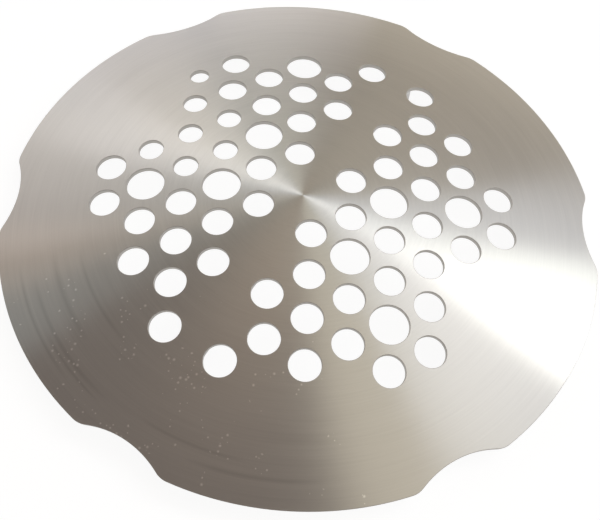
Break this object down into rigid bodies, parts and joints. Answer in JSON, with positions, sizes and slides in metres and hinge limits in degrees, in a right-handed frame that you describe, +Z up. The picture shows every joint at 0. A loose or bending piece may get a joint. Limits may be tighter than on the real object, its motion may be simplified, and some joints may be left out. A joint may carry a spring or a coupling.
{
  "type": "urinal strainer",
  "caption": "Domed round strainer plate of stainless sheet, perforated in its middle and scalloped at its rim, on four short legs welded underneath.",
  "frame": {"origin": "on the plane of the leg tips, under the centre of the plate", "axes": "+Z up, square to the plate; X along the cross strap; Y through the two side legs"},
  "size_m": [0.1376, 0.1396, 0.0136],
  "materials": {
    "plate_steel": "circumferentially brushed stainless steel",
    "strap_steel": "mill-finish stainless strip",
    "weld_steel": "dull weld metal"
  },
  "bodies": {
    "root": {"strainer_plate": "plate_steel", "cross_strap": "strap_steel", "side_leg_left": "strap_steel", "side_leg_right": "strap_steel", "strap_weld_1": "weld_steel", "strap_weld_2": "weld_steel", "strap_weld_3": "weld_steel", "strap_weld_4": "weld_steel", "strap_weld_5": "weld_steel", "side_leg_weld_left": "weld_steel", "side_leg_weld_right": "weld_steel"}
  },
  "joints": []
}
